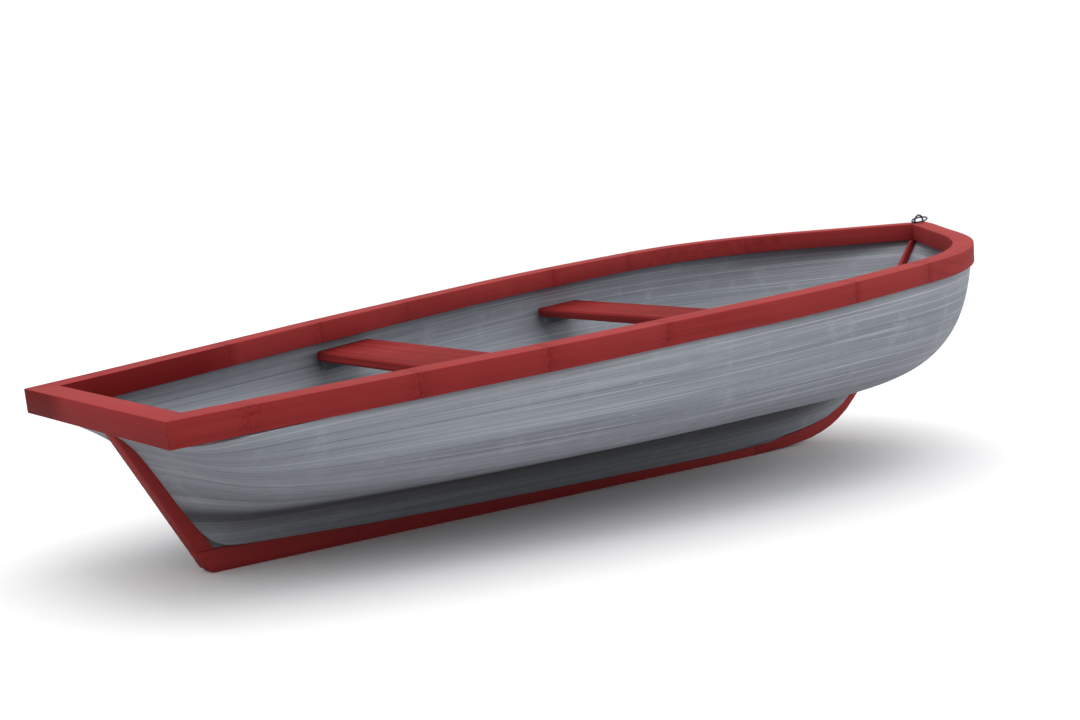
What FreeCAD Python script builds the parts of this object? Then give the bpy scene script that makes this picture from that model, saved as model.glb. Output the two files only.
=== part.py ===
import FreeCAD, Part
import math
import os
from FreeCAD import Placement, Rotation, Vector

# A small strip-planked rowing boat: ten strakes a side on a backbone of keel, sternpost and stem,
# under a heavy square cap rail, with two thwarts and a mooring staple with its ring at the bow.
# Millimetres.  The lines plan is drawn with X forward from the after edge of the rail, Y to port
# and Z up from the underside of the keel; a placement then moves each piece so that the part's
# origin is under the middle of its length.

doc = FreeCAD.newDocument("rowing_boat")
sheet = doc.addObject("Spreadsheet::Sheet", "Sizes")

SIZES = {
    # cap rail
    "rail_length": 4000,
    "rail_top_aft": 518.5,
    "sheer_rise": 0.0975,
    "rail_depth": 72,
    "rail_width": 80,
    "stern_bar_width": 77,
    # planking
    "plank_thick": 14,
    "seam_gap": 1.3,
    "strakes": 10,
    "centre_half": 22,
    "stem_head_half": 6,
    "fit_gap": 0.3,
    # backbone
    "keel_sided": 58,
    "keel_heel": 319,
    "keel_end": 2750,
    "keel_depth_heel": 68,
    "heel_chamfer": 9,
    "post_rake": 1.61,
    "stem_head_sided": 34,
    "hog_sided": 43.4,
    "hog_depth": 95,
    "bolt_radius": 5,
    "bolt_head_radius": 10,
    "bolt_head_deep": 7,
    "bolt_nut_across": 16,
    "bolt_clear": 0.4,
    # thwarts
    "thwart_thick": 36,
    "thwart_round": 10,
    "aft_thwart_start": 1090,
    "aft_thwart_wide": 250,
    "aft_thwart_drop": 105,
    "fore_thwart_start": 2272,
    "fore_thwart_wide": 222,
    "fore_thwart_drop": 153,
    "thwart_end_gap": 1.5,
    "cleat_depth": 34,
    "cleat_thick": 30,
    "cleat_inset": 15,
    "screw_radius": 3,
    "screw_head_radius": 6,
    "screw_head_high": 4,
    "screw_in_thwart": 22,
    # mooring staple and ring
    "staple_rod": 4,
    "staple_arch": 34,
    "staple_middle": 3951,
    "staple_deep": 55,
    "ring_rod": 3.5,
    "ring_radius": 33.5,
    "ring_lean": 20,
    "ring_from_foot": 8.7,
    "ring_off_rail": 4.6,
}

for row, (alias, value) in enumerate(SIZES.items(), start=1):
    sheet.set(f"A{row}", alias)
    sheet.set(f"B{row}", str(value))
    sheet.setAlias(f"B{row}", alias)
doc.recompute()


def size(alias):
    """A driving size, read back from the sheet."""
    return float(sheet.get(alias))


# ---------------------------------------------------------------- frames and small helpers

SHEER_ANGLE = math.atan(size("sheer_rise"))
ALONG_SHEER = Vector(math.cos(SHEER_ANGLE), 0, math.sin(SHEER_ANGLE))
OFF_SHEER = Vector(-math.sin(SHEER_ANGLE), 0, math.cos(SHEER_ANGLE))
HALF_LENGTH = (size("rail_length") + size("rail_depth") * math.sin(SHEER_ANGLE)) / 2
TO_PART = Placement(Vector(-HALF_LENGTH, 0, 0), Rotation())


def rail_top(fore):
    """Height of the rail's top plane."""
    return size("rail_top_aft") + size("sheer_rise") * fore


def rail_under(fore):
    """Height of the rail's underside."""
    return rail_top(fore) - size("rail_depth") / math.cos(SHEER_ANGLE)


def on_rail(fore, half):
    """The point of the rail's top plane above a place in the plan."""
    return Vector(fore, half, rail_top(fore))


def spline(points):
    """A smooth edge through points."""
    curve = Part.BSplineCurve()
    curve.interpolate(points)
    return curve.toShape()


def line(start, end):
    return Part.LineSegment(start, end).toShape()


def piece(label, shape):
    """A sub-part of the boat, drawn in the lines plan and placed in the part's frame."""
    feature = doc.addObject("Part::Feature", label)
    feature.Label = label
    feature.Shape = shape
    feature.Placement = TO_PART
    return feature


def mirrored(shape):
    """The same piece on the other side of the boat."""
    return shape.mirror(Vector(0, 0, 0), Vector(0, 1, 0))


def solid_between(lower, upper):
    """The solid between two closed wires with the same number of straight edges."""
    return Part.makeLoft([lower, upper], True, True)


def wire(points):
    return Part.makePolygon(points + [points[0]])


# ---------------------------------------------------------------- the planking's outer surface

# Control points of the faired outer surface, one row for each station from the sternpost to the
# stem, each row from the rail down to the keel: distance forward, half-breadth, height.
# The first point of a row lies on the rail's underside, so its height is worked out.
EDGE = 19
SHEER_EXTRA = 3
STATIONS = [
    # the after edge, on the sternpost
    [(47, EDGE), (101, EDGE, 415), (143, EDGE, 360), (183, EDGE, 300), (222, EDGE, 240),
     (255, EDGE, 190), (281, EDGE, 150), (309, EDGE, 108), (336, EDGE, 63)],
    # the face of the stern
    [(42, 210), (124, 172, 412), (190, 150, 355), (235, 130, 296), (270, 105, 238),
     (300, 82, 190), (325, 62, 150), (360, 44, 108), (400, EDGE, 63)],
    # the quarters
    [(20, 458), (128, 404, 405), (225, 355, 345), (290, 300, 285), (335, 225, 233),
     (370, 150, 190), (410, 92, 150), (460, 51, 108), (520, EDGE, 62)],
    [(360, 466), (380, 472, 415), (430, 450, 330), (480, 380, 270), (530, 280, 230),
     (570, 175, 192), (610, 100, 150), (660, 51, 106), (720, EDGE, 58)],
    # the middle body
    [(950, 575), (950, 592, 450), (950, 575, 345), (955, 485, 277), (960, 350, 236),
     (970, 205, 196), (980, 105, 152), (1000, 49, 104), (1020, EDGE, 49)],
    [(1650, 700), (1650, 715, 505), (1650, 695, 380), (1650, 590, 303), (1650, 425, 255),
     (1650, 245, 210), (1650, 115, 157), (1650, 49, 102), (1650, EDGE, 40)],
    [(2350, 770), (2350, 780, 575), (2350, 757, 438), (2350, 645, 345), (2350, 460, 287),
     (2350, 262, 236), (2350, 120, 175), (2350, 49, 107), (2350, EDGE, 34)],
    # the bow
    [(3060, 758), (3050, 778, 615), (3030, 750, 460), (3000, 612, 350), (2970, 420, 288),
     (2945, 238, 235), (2925, 115, 182), (2905, 46, 118), (2880, EDGE, 34)],
    [(3540, 518), (3500, 522, 650), (3450, 465, 512), (3390, 356, 412), (3330, 242, 336),
     (3270, 142, 270), (3220, 78, 212), (3180, 38, 148), (3140, EDGE, 66)],
    [(3780, 216), (3720, 197, 695), (3640, 158, 570), (3560, 122, 467), (3490, 91, 378),
     (3430, 65, 300), (3370, 46, 232), (3320, 33, 168), (3270, EDGE, 98)],
]
# The forward edge, on the stem, which narrows from its foot to its head.
STEM_EDGE = [(3935, None), (3845, 715), (3755, 605), (3670, 500), (3590, 400),
             (3520, 320), (3455, 248), (3395, 184), (3328, 122)]
STEM_FOOT_HIGH = 135
DEGREE = 3


def stem_half(high):
    """Half the width of the inner stem, between the planks' ends, at a height."""
    head_high = rail_under(STEM_EDGE[0][0])
    share = (high - STEM_FOOT_HIGH) / (head_high - STEM_FOOT_HIGH)
    foot = size("centre_half")
    return foot + (size("stem_head_half") - foot) * max(0, share)


def edge_point(fore, half, high=None):
    """A control point, its height left out where it lies on the rail's underside."""
    if high is None:
        high = rail_under(fore) + SHEER_EXTRA
    return Vector(fore, half, high)


def knots(count):
    """Evenly spaced knots of a clamped spline with a number of control points."""
    inner = count - DEGREE + 1
    values = [index / (inner - 1) for index in range(inner)]
    multiples = [DEGREE + 1] + [1] * (inner - 2) + [DEGREE + 1]
    return values, multiples


def hull_surface():
    rows = [[edge_point(*point) for point in station] for station in STATIONS]
    under_cut = size("centre_half") - EDGE
    stem_row = []
    for fore, high in STEM_EDGE:
        known = rail_under(fore) + SHEER_EXTRA if high is None else high
        stem_row.append(Vector(fore, stem_half(known) - under_cut, known))
    rows.append(stem_row)
    long_knots, long_multiples = knots(len(rows))
    girth_knots, girth_multiples = knots(len(rows[0]))
    surface = Part.BSplineSurface()
    surface.buildFromPolesMultsKnots(rows, long_multiples, girth_multiples, long_knots,
                                     girth_knots, False, False, DEGREE, DEGREE)
    return surface


def refined(surface, along_parts, girth_parts):
    """The same surface with more control points: every knot span divided into parts."""
    fine = surface.copy()
    for known, parts, insert in ((surface.getUKnots(), along_parts, fine.insertUKnot),
                                 (surface.getVKnots(), girth_parts, fine.insertVKnot)):
        for start, end in zip(known, known[1:]):
            for step in range(1, parts):
                insert(start + (end - start) * step / parts, 1, 1e-9)
    return fine


def pole_places(single_knots, multiples):
    """The parameter that each row of control points belongs to."""
    sequence = [knot for knot, times in zip(single_knots, multiples) for _ in range(times)]
    return [sum(sequence[index + 1:index + 1 + DEGREE]) / DEGREE
            for index in range(len(sequence) - DEGREE - 1)]


def inner_surface(outer, deep):
    """The planking's inner surface: each control point moved inwards square to the outer one."""
    inner = outer.copy()
    alongs = pole_places(outer.getUKnots(), outer.getUMultiplicities())
    girths = pole_places(outer.getVKnots(), outer.getVMultiplicities())
    for row, along in enumerate(alongs, start=1):
        for column, girth in enumerate(girths, start=1):
            moved = outer.getPole(row, column) - outer.normal(along, girth) * deep
            inner.setPole(row, column, moved)
    return inner


hull = refined(hull_surface(), 4, 3)
inner_hull = inner_surface(hull, size("plank_thick"))


# ---------------------------------------------------------------- what trims the planks

REACH = 5000


def centre_block(half):
    """The space that the backbone takes between the planks, up to the stem."""
    return Part.makeBox(REACH, 2 * half, REACH, Vector(-REACH + STEM_EDGE[-1][0], -half, -100))


def stem_block(shrink):
    """The space between the planks' forward ends, narrower towards the head of the stem."""
    high_end = rail_under(STEM_EDGE[0][0]) + 200

    def level(high):
        half = stem_half(high) - shrink
        back = STEM_EDGE[-1][0]
        front = back + 1000
        return wire([Vector(back, -half, high), Vector(front, -half, high),
                     Vector(front, half, high), Vector(back, half, high)])

    lower = Part.makeLoft([level(-100), level(STEM_FOOT_HIGH)], True, True)
    upper = Part.makeLoft([level(STEM_FOOT_HIGH), level(high_end)], True, True)
    return lower.fuse(upper)


def over_rail_underside():
    """Everything above the underside of the cap rail."""
    corner = Vector(0, -1000, rail_under(0)) - ALONG_SHEER * 1000
    block = Part.makeBox(6000, 2000, 1000)
    turn = Rotation(Vector(0, 1, 0), -math.degrees(SHEER_ANGLE))
    block.Placement = Placement(corner, turn)
    return block


TRIMMERS = [centre_block(size("centre_half")), stem_block(0), over_rail_underside()]

# ---------------------------------------------------------------- strakes

def seam_places(count):
    """Girth places of the seams: planks of one width amidships."""
    section = hull.uIso(0.5)
    whole = section.length()
    return [section.parameterAtDistance(whole * index / count, 0) if index else 0
            for index in range(count)] + [1]


def between_seams(surface, girth_start, girth_end):
    """The part of a surface that one plank covers."""
    part = surface.copy()
    part.segment(0, 1, girth_start, girth_end)
    return part


def borders(surface):
    """The four edges of a face: its two ends, then its two long edges."""
    along_start, along_end, girth_start, girth_end = surface.bounds()
    curves = [surface.uIso(along_start), surface.uIso(along_end),
              surface.vIso(girth_start), surface.vIso(girth_end)]
    return [curve.toShape() for curve in curves]


def joined(first, second):
    """The solid between two surfaces, closed by ruled faces along their borders."""
    faces = [first.toShape(), second.toShape()]
    for one, other in zip(borders(first), borders(second)):
        faces.append(Part.makeRuledSurface(one, other))
    shell = Part.Compound(faces)
    shell.sewShape()
    solid = Part.Solid(shell.Shells[0])
    if solid.Volume < 0:
        solid.reverse()
    return solid


def strake(girth_start, girth_end):
    blank = joined(between_seams(hull, girth_start, girth_end),
                   between_seams(inner_hull, girth_start, girth_end))
    for trimmer in TRIMMERS:
        blank = blank.cut(trimmer)
    return max(blank.Solids, key=lambda found: found.Volume)


STRAKE_COUNT = int(size("strakes"))
SEAMS = seam_places(STRAKE_COUNT)
MID_GIRTH = hull.uIso(0.5).length()


def strake_name(number):
    if number == 1:
        return "sheer_strake"
    if number == STRAKE_COUNT:
        return "garboard_strake"
    return f"strake_{number}"


# Strakes made of several lengths, and the distances forward at which those butt together.
STRAKE_BUTTS = {3: [2500], 8: [1300, 2500]}
LENGTH_NAMES = {0: [""], 1: ["_after", "_forward"], 2: ["_after", "_midship", "_forward"]}


def lengths(plank, butts):
    """A plank sawn square across at its butts, with a seam's gap at each."""
    gap = size("seam_gap")
    starts = [-REACH] + [butt + gap / 2 for butt in butts]
    ends = [butt - gap / 2 for butt in butts] + [REACH]
    return [plank.common(Part.makeBox(end - start, REACH, REACH, Vector(start, 0, 0)))
            if butts else plank for start, end in zip(starts, ends)]


for number in range(1, STRAKE_COUNT + 1):
    half_gap = size("seam_gap") / 2 * (SEAMS[number] - SEAMS[number - 1]) * STRAKE_COUNT / MID_GIRTH
    start = SEAMS[number - 1] + (half_gap if number > 1 else 0)
    end = SEAMS[number] - (half_gap if number < STRAKE_COUNT else 0)
    butts = STRAKE_BUTTS.get(number, [])
    for name, port in zip(LENGTH_NAMES[len(butts)], lengths(strake(start, end), butts)):
        piece(f"port_{strake_name(number)}{name}", port)
        piece(f"starboard_{strake_name(number)}{name}", mirrored(port))


# ---------------------------------------------------------------- cap rail

# Half-breadths of the rail's outer edge at distances forward, ending in a point at the bow.
RAIL_OUTLINE = [(0, 434), (560, 534), (1120, 641), (1680, 722), (2240, 783), (2680, 785),
                (3040, 752), (3320, 643), (3560, 466), (3760, 259), (3900, 116), (4000, 0)]
# Where the lengths of rail butt against each other, as distances forward.
RAIL_JOINTS = [670, 1071, 1496, 2327, 2777, 3400]
RAIL_NAMES = ["quarter", "after", "waist", "midship", "forward", "shoulder", "bow"]
POINTS_PER_LENGTH = 6

outer_edge = Part.BSplineCurve()
outer_edge.interpolate([on_rail(*point) for point in RAIL_OUTLINE])


def outer_at(place):
    return outer_edge.value(place)


def inner_at(place):
    """The rail's inner edge, square across from a place on its outer edge."""
    along = outer_edge.tangent(place)[0]
    across = OFF_SHEER.cross(along)
    if across.y > 0:
        across = across * -1
    return outer_edge.value(place) + across.normalize() * size("rail_width")


def place_where(measure, target, low, high):
    """The place on the rail's edge at which a growing measure reaches a target."""
    for _ in range(50):
        middle = (low + high) / 2
        if measure(middle) < target:
            low = middle
        else:
            high = middle
    return low


FIRST = outer_edge.FirstParameter
LAST = outer_edge.LastParameter
inner_corner = place_where(lambda place: inner_at(place).x, size("stern_bar_width"), FIRST, LAST / 2)
inner_point = place_where(lambda place: -inner_at(place).y, 0, LAST / 2, LAST)


def length_of_rail(outer_start, outer_end, inner_start, inner_end):
    """A length of rail between two places on its outer and on its inner edge."""
    outer = []
    inner = []
    for step in range(POINTS_PER_LENGTH):
        share = step / (POINTS_PER_LENGTH - 1)
        outer.append(outer_at(outer_start + (outer_end - outer_start) * share))
        inner.append(inner_at(inner_start + (inner_end - inner_start) * share))
    for edge in (outer, inner):
        if abs(edge[-1].y) < 0.5:
            edge[-1].y = 0
    edges = [spline(outer), line(outer[-1], inner[-1]), spline(inner), line(inner[0], outer[0])]
    face = Part.Face(Part.Wire(edges))
    return face.extrude(OFF_SHEER * -size("rail_depth"))


def rail_places():
    joints = [place_where(lambda place: outer_at(place).x, fore, FIRST, LAST) for fore in RAIL_JOINTS]
    starts = [(FIRST, inner_corner)] + [(place, place) for place in joints]
    ends = [(place, place) for place in joints] + [(LAST, inner_point)]
    return zip(RAIL_NAMES, starts, ends)


def staple_holes():
    """The two holes that the staple's legs are driven into, square to the sheer."""
    holes = []
    for side in (-1, 1):
        foot = on_rail(size("staple_middle"), 0) + ALONG_SHEER * (side * size("staple_arch"))
        start = foot - OFF_SHEER * (size("staple_deep") + 1)
        holes.append(Part.makeCylinder(size("staple_rod") + 0.05, 200, start, OFF_SHEER))
    return holes


for name, (outer_start, inner_start), (outer_end, inner_end) in rail_places():
    port = length_of_rail(outer_start, outer_end, inner_start, inner_end)
    if name == "bow":
        port = port.cut(Part.Compound(staple_holes()))
    piece(f"port_rail_{name}", port)
    piece(f"starboard_rail_{name}", mirrored(port))

corner_out = outer_at(FIRST)
corner_in = inner_at(inner_corner)
stern_corners = [corner_out, corner_in, Vector(corner_in.x, -corner_in.y, corner_in.z),
                 Vector(corner_out.x, -corner_out.y, corner_out.z)]
stern_face = Part.Face(wire(stern_corners))
piece("stern_rail", stern_face.extrude(OFF_SHEER * -size("rail_depth")))

# ---------------------------------------------------------------- backbone

UNDER_PLANKS = 0.8
HEEL = size("keel_heel")
KEEL_END = size("keel_end")
HEEL_CUT = size("heel_chamfer")
HEEL_HIGH = size("keel_depth_heel")
GAP = size("fit_gap")


def sketch_on(body, role, name):
    """A sketch on one of the body's own origin planes."""
    plane = next(item for item in body.Origin.OriginFeatures if item.Role == role)
    sketch = body.newObject("Sketcher::SketchObject", name)
    sketch.AttachmentSupport = [(plane, "")]
    sketch.MapMode = "FlatFace"
    return sketch


def profile_body(label, outline, thickness):
    """A timber of an even thickness, sawn to an outline seen from the side."""
    body = doc.addObject("PartDesign::Body", label)
    body.Label = label
    sketch = sketch_on(body, "XZ_Plane", f"{label}_outline")
    corners = [Vector(fore, high, 0) for fore, high in outline]
    for start, end in zip(corners, corners[1:] + corners[:1]):
        sketch.addGeometry(Part.LineSegment(start, end))
    pad = body.newObject("PartDesign::Pad", f"{label}_timber")
    pad.Profile = sketch
    pad.Midplane = True
    pad.setExpression("Length", f"Sizes.{thickness}")
    body.Tip = pad
    body.Placement = TO_PART
    doc.recompute()
    return body


def drill(body, name, places, radius, depth=None):
    """Round holes drilled upwards into a timber, right through it unless a depth is given."""
    before = body.Shape.Volume
    sketch = sketch_on(body, "XY_Plane", f"{body.Label}_{name}")
    for fore in places:
        sketch.addGeometry(Part.Circle(Vector(fore, 0, 0), Vector(0, 0, 1), radius))
    pocket = body.newObject("PartDesign::Pocket", f"{body.Label}_{name}_cut")
    pocket.Profile = sketch
    pocket.Reversed = True
    if depth is None:
        pocket.Type = "ThroughAll"
    else:
        pocket.setExpression("Length", f"Sizes.{depth}")
    body.Tip = pocket
    doc.recompute()
    if body.Shape.Volume >= before:
        raise ValueError(f"{name} cuts nothing from {body.Label}")


def post_back(high):
    """How far forward the sternpost's after face is at a height."""
    return HEEL - high / size("post_rake")


def crossing(point_at, offset, low, high):
    """The point of a path at which a growing offset passes zero."""
    for _ in range(40):
        middle = (low + high) / 2
        if offset(point_at(middle)) < 0:
            low = middle
        else:
            high = middle
    return point_at(low)


def post_front(high):
    """How far forward the sternpost's forward face is at a height: just behind the planks' ends."""
    ends = [crossing(hull.uIso(along).value, lambda point: high - point.z, 0, 1) for along in (0, 0.004)]
    return min(end.x for end in ends) - UNDER_PLANKS


def plank_foot(along):
    """The lower edge of the garboard's outer face, at a place along the hull."""
    return crossing(hull.uIso(along).value, lambda point: size("centre_half") - point.y, 0.8, 1)


def plank_end(girth):
    """The forward end of the outer face of the planking, at a girth."""
    return crossing(hull.vIso(girth).value, lambda point: stem_half(point.z) - point.y, 0.8, 1)


# The keel: straight under the hull, its top following the lower edges of the garboards.
KEEL_PLACES = [0.14, 0.22, 0.32, 0.44, 0.56, 0.66, 0.76]
feet = [plank_foot(along) for along in KEEL_PLACES]
feet = [foot for foot in feet if HEEL + 60 < foot.x < KEEL_END - 60]
keel_end_foot = min((plank_foot(step / 200) for step in range(100, 180)),
                    key=lambda foot: abs(foot.x - KEEL_END))
keel_top = [(foot.x, foot.z - UNDER_PLANKS) for foot in feet + [keel_end_foot]]
keel_top[-1] = (KEEL_END, keel_top[-1][1])
heel_top = [(post_back(HEEL_HIGH), HEEL_HIGH), (post_front(HEEL_HIGH) + 20, HEEL_HIGH)]
heel_foot = [(post_back(HEEL_CUT), HEEL_CUT), (HEEL + HEEL_CUT, 0)]
keel = profile_body("keel", heel_foot + [(KEEL_END, 0)] + keel_top[::-1] + heel_top[::-1], "keel_sided")

KEEL_BOLTS = [620, 1110, 1600, 2090, 2580]
HEAD_ROOM = size("bolt_head_deep") + 2
sheet.set("D1", str(HEAD_ROOM))
sheet.setAlias("D1", "bolt_recess")
BOLT_HOLE = size("bolt_radius") + size("bolt_clear")
drill(keel, "bolt_holes", KEEL_BOLTS, BOLT_HOLE)
drill(keel, "bolt_recesses", KEEL_BOLTS, size("bolt_head_radius") + 1, "bolt_recess")

# The forefoot's inner edge, and the hog above it, turn up at the lower ends of the plank feet.
HOG_END = 3285
FOREFOOT_INNER = [2755, 2830, 2905, 2980, 3050, 3120, 3180, 3235, HOG_END]


def foot_at(fore):
    """The lower edge of the planking at a distance forward."""
    foot = min((plank_foot(step / 800) for step in range(100, 800)), key=lambda found: abs(found.x - fore))
    return foot.z


def hog_line(rise):
    """The hog's lower or upper edge, a rise above the top of the keel."""
    after = post_front(HEEL_HIGH + rise) + GAP
    line_points = [(max(after, post_front(HEEL_HIGH) + 22), HEEL_HIGH + rise)]
    if after < line_points[0][0]:
        line_points.insert(0, (after, HEEL_HIGH + rise))
    line_points += [(fore, high + rise) for fore, high in keel_top]
    line_points += [(fore, foot_at(fore) - UNDER_PLANKS + rise) for fore in FOREFOOT_INNER]
    return line_points


POST_LEVELS = [HEEL_HIGH + GAP, 130, 190, 250, 310, 350, 375, 395, 408, 418, 427, 435, 442]
lower = hog_line(GAP)
upper = hog_line(size("hog_depth"))
hog_after_face = [(post_front(high) + GAP, high) for high in POST_LEVELS
                  if lower[0][1] < high < upper[0][1]]
hog = profile_body("hog", lower + upper[::-1] + hog_after_face[::-1], "hog_sided")
drill(hog, "bolt_holes", KEEL_BOLTS, BOLT_HOLE)

# The stern: the post that the keel's heel carries, and the inner post between the plank ends.
INNER_POST_DEEP = 62


def post_top(fore):
    return (fore, rail_under(fore) - GAP)


post_head = crossing(hull.uIso(0.004).value, lambda point: rail_under(point.x) - point.z, 0, 1).x
post_head = post_head - UNDER_PLANKS
post_face = [(post_front(high), high) for high in POST_LEVELS] + [post_top(post_head)]
back_head = (HEEL - rail_under(0) / size("post_rake")) / (1 + size("sheer_rise") / size("post_rake"))
profile_body("sternpost", [(post_back(HEEL_HIGH + GAP), HEEL_HIGH + GAP)] + post_face
             + [post_top(back_head)], "keel_sided")
hog_heel_top = upper[0][1] + GAP
inner_face = [(post_front(hog_heel_top) + GAP, hog_heel_top)]
inner_face += [(fore + GAP, high) for fore, high in post_face if high > hog_heel_top + 5]
inner_face[-1] = post_top(post_head + GAP)
inner_head = post_back(rail_under(0)) + INNER_POST_DEEP + 40
inner_foot = (inner_face[0][0] + INNER_POST_DEEP, hog_heel_top)
profile_body("inner_sternpost", inner_face + [post_top(inner_head), inner_foot], "hog_sided")

# The bow: the forefoot butted to the keel, and the stem above it, sided less towards its head.
# The stem's outer edge is straight: a point of it, and its rise over its run.
STEM_RAKE = math.atan2(635, 508)
STEM_OUTER = Vector(3462, 0, 195)
STEM_UP = Vector(math.cos(STEM_RAKE), 0, math.sin(STEM_RAKE))
STEM_AHEAD = Vector(math.sin(STEM_RAKE), 0, -math.cos(STEM_RAKE))
KEEL_HALF = size("keel_sided") / 2
HEAD_HALF = size("stem_head_sided") / 2
STEM_TOP = rail_under(3950) - GAP


def timber(stations):
    """A curved timber through square-cornered stations: outer edge, inner edge, half its siding."""
    sections = []
    for outer, inner, half in stations:
        aside = Vector(0, half, 0)
        sections.append(wire([outer - aside, outer + aside, inner + aside, inner - aside]))
    return Part.makeLoft(sections, True, True)


FOREFOOT_HEAD = Vector(3440, 0, 172)
FOREFOOT_OUTER = Part.BSplineCurve()
FOREFOOT_OUTER.interpolate([Vector(KEEL_END + GAP, 0, 0), Vector(2984, 0, 10), Vector(3228, 0, 49),
                            Vector(3358, 0, 108), FOREFOOT_HEAD])


def forefoot_station(fore, high):
    """A section of the forefoot square to its outer edge, out from a point of its inner edge."""
    inner = Vector(fore, 0, high)
    nearest = FOREFOOT_OUTER.value(FOREFOOT_OUTER.parameter(inner))
    return nearest, inner, KEEL_HALF


forefoot_stations = [(Vector(KEEL_END + GAP, 0, 0), Vector(KEEL_END + GAP, 0, keel_top[-1][1]), KEEL_HALF)]
for fore in FOREFOOT_INNER[1:]:
    forefoot_stations.append(forefoot_station(fore, foot_at(fore) - UNDER_PLANKS))
for girth in (0.99, 0.96, 0.93):
    end = plank_end(girth)
    if end.x > HOG_END + 5:
        forefoot_stations.append(forefoot_station(end.x + UNDER_PLANKS, end.z - UNDER_PLANKS))
forefoot_stations[-1] = (FOREFOOT_HEAD, forefoot_stations[-1][1], KEEL_HALF)
piece("forefoot", timber(forefoot_stations))


def stem_station(girth):
    end = plank_end(girth)
    inner = Vector(end.x, 0, end.z) + STEM_AHEAD * UNDER_PLANKS
    outer = STEM_OUTER + STEM_UP * (inner - STEM_OUTER).dot(STEM_UP)
    share = (end.z - STEM_OUTER.z) / (STEM_TOP - STEM_OUTER.z)
    return outer, inner, KEEL_HALF + (HEAD_HALF - KEEL_HALF) * max(0, share)


STEM_GIRTHS = [0.93, 0.88, 0.8, 0.7, 0.6, 0.5, 0.4, 0.3, 0.2, 0.1, 0]
stem_stations = [stem_station(girth) for girth in STEM_GIRTHS]
foot_inner = stem_stations[0][1]
stem_stations[0] = (FOREFOOT_HEAD + STEM_UP * GAP, foot_inner + STEM_UP * GAP, KEEL_HALF)
head_outer, head_inner, head_half = stem_stations[-1]
stem_stations.append((head_outer + STEM_UP * 60, head_inner + STEM_UP * 60, head_half))
stem = timber(stem_stations)
rail_block = over_rail_underside()
rail_block.translate(OFF_SHEER * -GAP)
stem = stem.cut(rail_block)
piece("stem", stem)

# The apron, inside the stem, to which the plank ends are nailed.
APRON_DEEP = 42
ends = [plank_end(girth) for girth in (0.95, 0.9, 0.8, 0.6, 0.4, 0.2, 0)]
front = [Vector(end.x - GAP, 0, end.z) for end in ends]
top_front = front[-1] + (front[-1] - front[-2]).normalize() * 40
front.append(top_front)
back = [Vector(max(point.x - APRON_DEEP, HOG_END + GAP), 0, point.z) for point in front]
outline = front + back[::-1]
apron_blank = Part.Face(wire(outline))
apron_blank.translate(Vector(0, -100, 0))
apron = apron_blank.extrude(Vector(0, 200, 0)).common(stem_block(GAP)).cut(rail_block)
piece("apron", apron)

# ---------------------------------------------------------------- bolts through keel and hog

NUT_HIGH = 8


def keel_bolt(fore, top):
    """A bolt from its recess under the keel up to above the nut on the hog."""
    recess = HEAD_ROOM - size("bolt_head_deep")
    head = Part.makeCylinder(size("bolt_head_radius"), size("bolt_head_deep"), Vector(fore, 0, recess))
    shank = Part.makeCylinder(size("bolt_radius"), top + NUT_HIGH + 4 - recess, Vector(fore, 0, recess))
    return head.fuse(shank)


def square_nut(fore, top):
    across = size("bolt_nut_across")
    block = Part.makeBox(across, across, NUT_HIGH, Vector(fore - across / 2, -across / 2, top + 0.1))
    return block.cut(Part.makeCylinder(size("bolt_radius") + 0.05, 400, Vector(fore, 0, 0)))


def hog_top(fore):
    """The height of the hog's top at a distance forward."""
    for (start_x, start_z), (end_x, end_z) in zip(upper, upper[1:]):
        if start_x <= fore <= end_x:
            return start_z + (end_z - start_z) * (fore - start_x) / (end_x - start_x)
    raise ValueError(f"the hog doesn't reach {fore}")


nut_seats = [(fore, hog_top(fore) + 1) for fore in KEEL_BOLTS]
piece("keel_bolts", Part.Compound([keel_bolt(fore, top) for fore, top in nut_seats]))
piece("keel_bolt_nuts", Part.Compound([square_nut(fore, top) for fore, top in nut_seats]))

# ---------------------------------------------------------------- thwarts and their cleats

def half_inside(fore, high):
    """Half the width inside the planking, at a distance forward and a height."""
    def at_girth(girth):
        return crossing(lambda along: inner_hull.value(along, girth),
                        lambda point: point.x - fore, 0, 1)
    return crossing(at_girth, lambda point: high - point.z, 0, 1).y


def thwart_level(fore, drop, below):
    """A point of the centre line at a depth below the thwart's top, square to the sheer."""
    return Vector(fore, 0, rail_top(fore) - drop) - OFF_SHEER * below


def four_corners(start, end, drop, below, gap, inboard=None):
    """Corners of a level of a thwart or a cleat, its ends against the planking."""
    corners = []
    for fore in (start, end):
        at = thwart_level(fore, drop, below)
        corners.append((at, half_inside(at.x, at.z) - gap))
    (after, after_half), (ahead, ahead_half) = corners
    if inboard is None:
        near = (-after_half, -ahead_half)
    else:
        near = (after_half - inboard, ahead_half - inboard)
    return [after + Vector(0, near[0], 0), ahead + Vector(0, near[1], 0),
            ahead + Vector(0, ahead_half, 0), after + Vector(0, after_half, 0)]


def screw_places(start, wide, drop, below):
    """Two screws through the cleat at one end of a thwart."""
    places = []
    for share in (0.25, 0.75):
        at = thwart_level(start + wide * share, drop, below)
        places.append(at + Vector(0, half_inside(at.x, at.z) - size("cleat_thick") / 2 - 1, 0))
    return places


def both_sides(points):
    return points + [Vector(point.x, -point.y, point.z) for point in points]


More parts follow.
